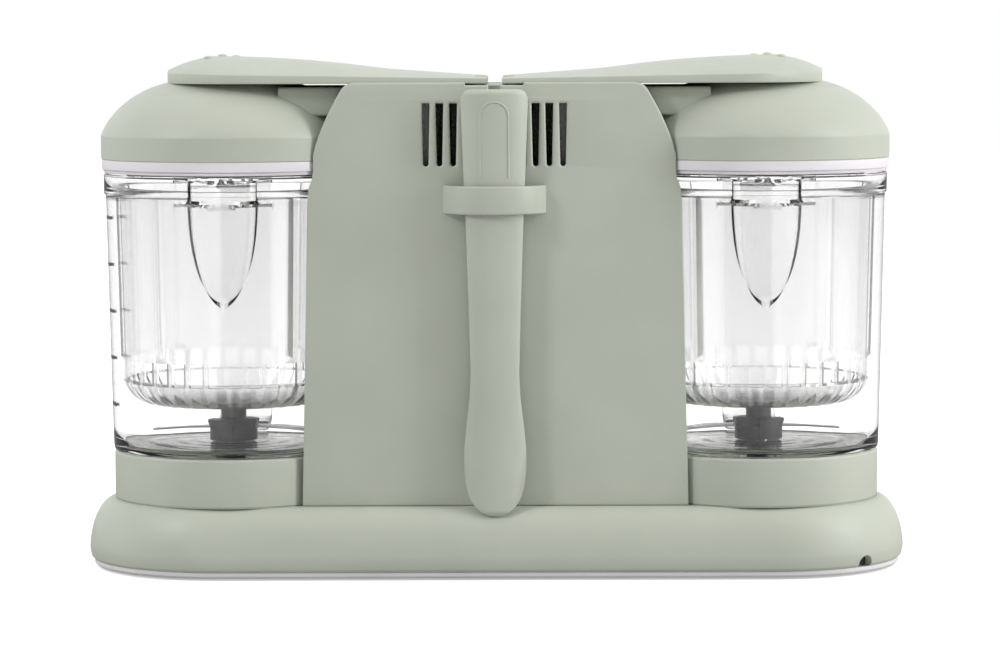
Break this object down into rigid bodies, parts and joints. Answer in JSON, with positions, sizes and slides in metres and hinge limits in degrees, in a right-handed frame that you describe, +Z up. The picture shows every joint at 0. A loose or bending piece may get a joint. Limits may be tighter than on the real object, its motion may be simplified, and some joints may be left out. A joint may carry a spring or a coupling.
{
  "type": "baby food maker",
  "caption": "Double baby food maker: clear bowls with steam baskets, blades and hinged lids on a common base, beside a central column with tanks, motors and a spatula.",
  "frame": {"origin": "on the ground, in the middle of the whole footprint", "axes": "+X along the length to the right bowl, +Y towards the control side with the bowl handles, +Z up"},
  "size_m": [0.4, 0.1689, 0.2504],
  "materials": {
    "sage_plastic": "satin",
    "white_plastic": "satin",
    "spatula_plastic": "satin",
    "clear_plastic": "clear",
    "black_plastic": "satin",
    "steel": "brushed",
    "rubber": "matte",
    "board": "satin",
    "lens": "gloss"
  },
  "bodies": {
    "housing": {"left_bowl_socket": "sage_plastic", "left_drive_belt": "rubber", "left_motor_can": "steel", "left_boiler": "steel", "right_bowl_socket": "sage_plastic", "right_drive_belt": "rubber", "right_motor_can": "steel", "right_boiler": "steel", "base_shell": "sage_plastic", "bottom_plate": "white_plastic", "rubber_feet": "rubber", "column_shell": "sage_plastic", "vent_cover": "sage_plastic", "control_cover": "sage_plastic", "top_deck": "sage_plastic", "hinge_pins": "steel", "spatula_holder": "spatula_plastic", "circuit_board": "board", "cord_gland": "rubber", "screws": "steel", "heater_plates": "steel", "filler_rings": "white_plastic", "indicator_lenses": "lens", "drive_bearings": "steel"},
    "left_lid": {"left_lid_dome": "sage_plastic", "left_lid_lever": "sage_plastic", "left_lid_liner": "white_plastic", "left_lid_seal": "rubber", "left_tank_seal": "rubber"},
    "left_bowl": {"left_bowl": "clear_plastic", "left_bowl_handle": "clear_plastic", "left_steam_basket": "clear_plastic", "left_bowl_bush": "black_plastic", "left_blade_locknut": "black_plastic"},
    "left_drive": {"left_blade_hub": "black_plastic", "left_blade_wings": "steel", "left_blade_shaft": "steel", "left_drive_coupling": "black_plastic", "left_drive_pulley": "black_plastic"},
    "left_rotor": {"left_motor_pulley": "steel"},
    "left_knob": {"left_knob": "white_plastic"},
    "right_lid": {"right_lid_dome": "sage_plastic", "right_lid_lever": "sage_plastic", "right_lid_liner": "white_plastic", "right_lid_seal": "rubber", "right_tank_seal": "rubber"},
    "right_bowl": {"right_bowl": "clear_plastic", "right_bowl_handle": "clear_plastic", "right_steam_basket": "clear_plastic", "right_bowl_bush": "black_plastic", "right_blade_locknut": "black_plastic"},
    "right_drive": {"right_blade_hub": "black_plastic", "right_blade_wings": "steel", "right_blade_shaft": "steel", "right_drive_coupling": "black_plastic", "right_drive_pulley": "black_plastic"},
    "right_rotor": {"right_motor_pulley": "steel"},
    "right_knob": {"right_knob": "white_plastic"},
    "spatula": {"spatula": "spatula_plastic"}
  },
  "joints": [
    {"name": "left_lid_hinge", "type": "hinge", "parent": "housing", "child": "left_lid", "pos_m": [-0.0054, -0.013, 0.2379], "axis": [0, 1, 0], "range_deg": [0, 80]},
    {"name": "left_bowl_twist", "type": "hinge", "parent": "housing", "child": "left_bowl", "pos_m": [-0.129, -0.013, 0], "axis": [0, 0, -1], "range_deg": [0, 20]},
    {"name": "left_blade_spin", "type": "hinge", "parent": "housing", "child": "left_drive", "pos_m": [-0.129, -0.013, 0], "axis": [0, 0, 1], "continuous": true},
    {"name": "left_motor_spin", "type": "hinge", "parent": "housing", "child": "left_rotor", "pos_m": [-0.034, -0.013, 0], "axis": [0, 0, 1], "continuous": true},
    {"name": "left_knob_turn", "type": "hinge", "parent": "housing", "child": "left_knob", "pos_m": [-0.045, 0.036, 0.077], "axis": [0, 1, 0], "range_deg": [-35, 35], "stiffness_Nm_per_rad": 0.05},
    {"name": "right_lid_hinge", "type": "hinge", "parent": "housing", "child": "right_lid", "pos_m": [0.0054, -0.013, 0.2379], "axis": [0, -1, 0], "range_deg": [0, 80]},
    {"name": "right_bowl_twist", "type": "hinge", "parent": "housing", "child": "right_bowl", "pos_m": [0.129, -0.013, 0], "axis": [0, 0, 1], "range_deg": [0, 20]},
    {"name": "right_blade_spin", "type": "hinge", "parent": "housing", "child": "right_drive", "pos_m": [0.129, -0.013, 0], "axis": [0, 0, 1], "continuous": true},
    {"name": "right_motor_spin", "type": "hinge", "parent": "housing", "child": "right_rotor", "pos_m": [0.034, -0.013, 0], "axis": [0, 0, 1], "continuous": true},
    {"name": "right_knob_turn", "type": "hinge", "parent": "housing", "child": "right_knob", "pos_m": [0.045, 0.036, 0.077], "axis": [0, 1, 0], "range_deg": [-35, 35], "stiffness_Nm_per_rad": 0.05},
    {"name": "spatula_slide", "type": "slide", "parent": "housing", "child": "spatula", "axis": [0, 0, 1], "range_m": [0, 0.19]}
  ],
  "couplings": [
    {"joint": "left_motor_spin", "follows": "left_blade_spin", "ratio": 2.75},
    {"joint": "right_motor_spin", "follows": "right_blade_spin", "ratio": 2.75}
  ]
}
